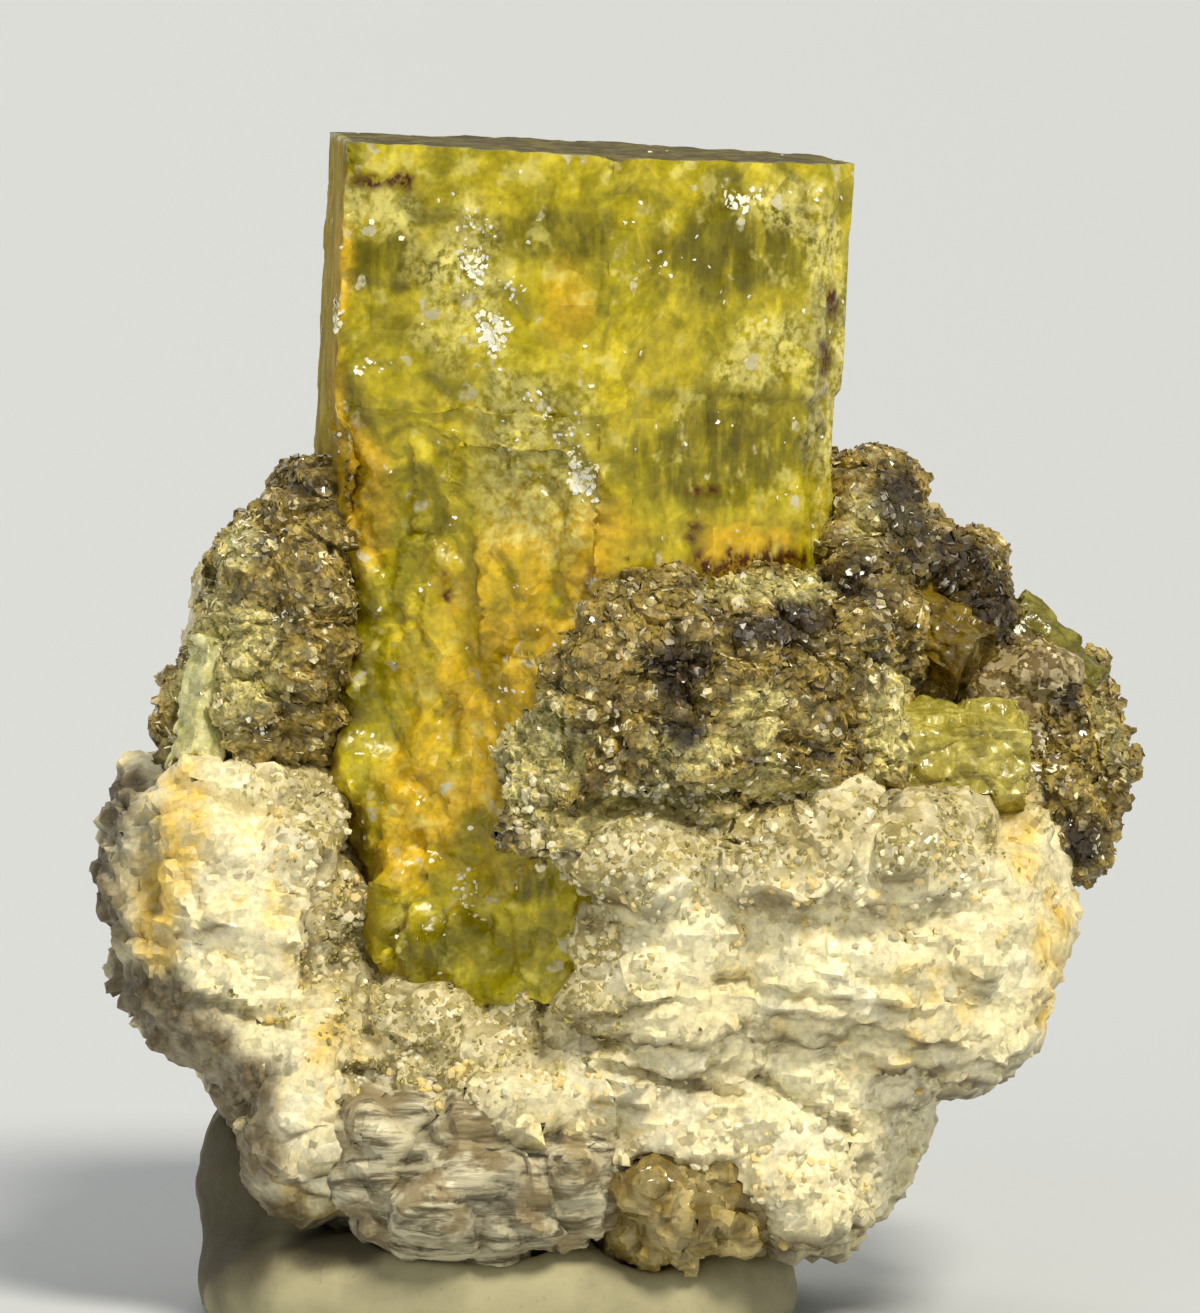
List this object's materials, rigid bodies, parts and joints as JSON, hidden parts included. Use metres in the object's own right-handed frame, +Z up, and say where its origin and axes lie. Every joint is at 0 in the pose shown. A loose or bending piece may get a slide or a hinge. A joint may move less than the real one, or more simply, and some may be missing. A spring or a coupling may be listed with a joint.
{
  "type": "heliodor specimen",
  "caption": "Stout flat-topped six-sided golden beryl crystal standing in a lump of feldspar and mica, held upright in a lump of putty.",
  "frame": {"origin": "middle of the putty's flat foot", "axes": "+Z up, nearly along the crystal; +X to the viewer's right in the front view; the viewer looks along +Y"},
  "size_m": [0.0528, 0.0363, 0.0586],
  "materials": {
    "heliodor": "clear to cloudy golden yellow crystal with rust stains",
    "small_beryl": "cloudy yellow-green crystal",
    "feldspar": "cream granular rock with yellow iron stains",
    "mica": "brown glittering flakes",
    "albite": "white silky fibrous rock",
    "quartz": "glassy yellowish rock",
    "putty": "matte grey-green putty"
  },
  "bodies": {
    "root": {"heliodor_crystal": "heliodor", "feldspar_matrix": "feldspar", "beryl_block": "small_beryl", "beryl_wedge": "small_beryl", "beryl_olive": "small_beryl", "beryl_pale": "small_beryl", "mica_left": "mica", "mica_front": "mica", "mica_ridge": "mica", "mica_book": "mica", "albite_lump": "albite", "quartz_chunk": "quartz", "putty_base": "putty"}
  },
  "joints": []
}
